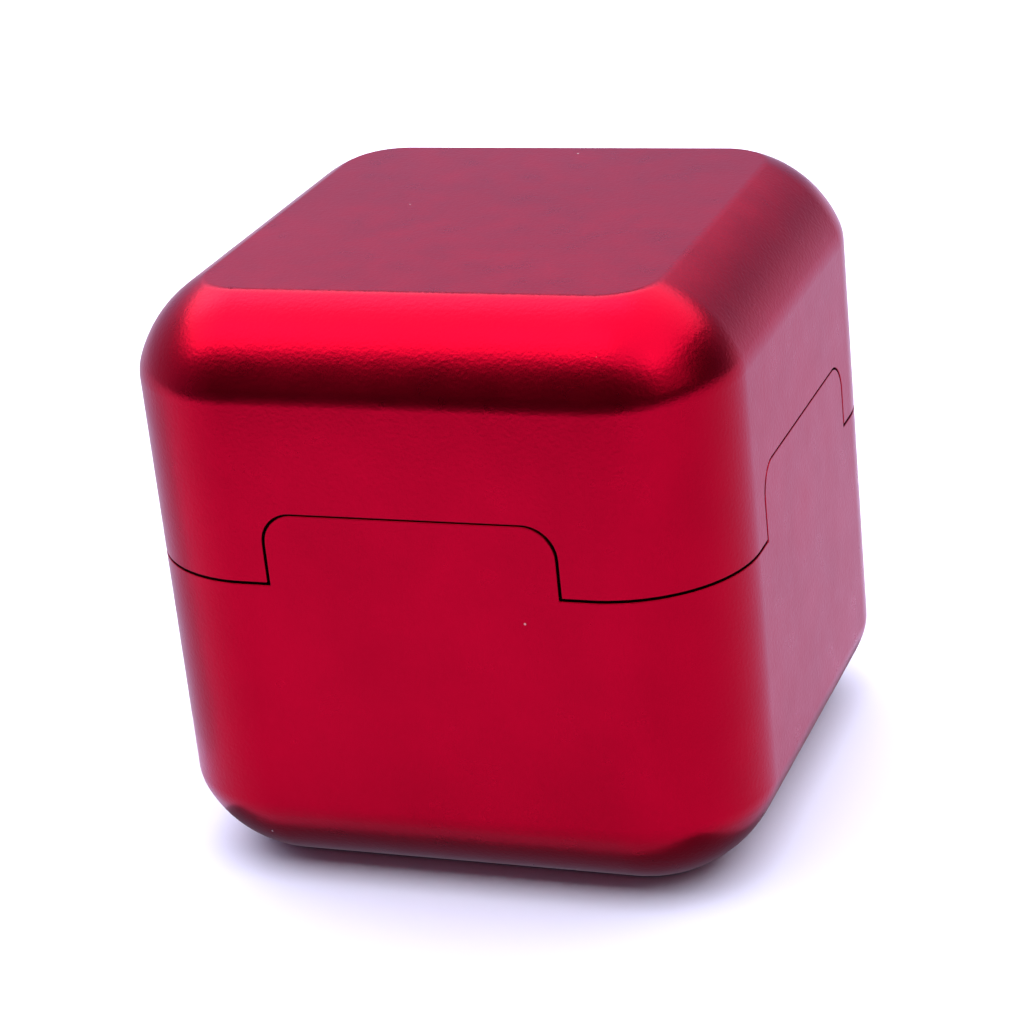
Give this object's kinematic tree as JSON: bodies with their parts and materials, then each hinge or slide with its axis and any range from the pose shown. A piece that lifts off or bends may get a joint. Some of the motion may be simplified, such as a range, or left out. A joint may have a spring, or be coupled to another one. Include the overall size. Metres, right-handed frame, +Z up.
{
  "type": "fidget cube",
  "caption": "Rounded metal cube in two castellated halves; the upper half slides on a central piston.",
  "frame": {"origin": "centre of the flat base, where the cube rests", "axes": "+Z up along the piston, -Y out of the front face, +X to the right seen from the front"},
  "size_m": [0.038, 0.038, 0.0376],
  "materials": {
    "anodised_red": "bead-blasted and dyed red by anodising, satin",
    "ground_steel": "stainless steel, turned and ground",
    "liner_brass": "honed bronze sleeve",
    "black_steel": "black oxide on steel",
    "washer_steel": "zinc plated spring steel",
    "magnet_nickel": "nickel plated",
    "seal_rubber": "nitrile rubber, satin black",
    "guide_plastic": "low-friction fluoropolymer, matt"
  },
  "bodies": {
    "lower_half": {"lower_body": "anodised_red", "piston_sleeve": "ground_steel", "piston_crown": "ground_steel", "piston_screw": "black_steel", "lock_washer": "washer_steel", "piston_dowel": "ground_steel", "piston_seal": "seal_rubber", "crown_seal": "seal_rubber", "guide_ring": "guide_plastic", "bleed_screw": "black_steel", "lower_magnet_front_left": "magnet_nickel", "lower_magnet_front_right": "magnet_nickel", "lower_magnet_back_right": "magnet_nickel", "lower_magnet_back_left": "magnet_nickel"},
    "upper_half": {"upper_body": "anodised_red", "cylinder_liner": "liner_brass", "upper_magnet_front_left": "magnet_nickel", "upper_magnet_front_right": "magnet_nickel", "upper_magnet_back_right": "magnet_nickel", "upper_magnet_back_left": "magnet_nickel"}
  },
  "joints": [
    {"name": "lift", "type": "slide", "parent": "lower_half", "child": "upper_half", "axis": [0, 0, 1], "range_m": [0, 0.011]}
  ]
}
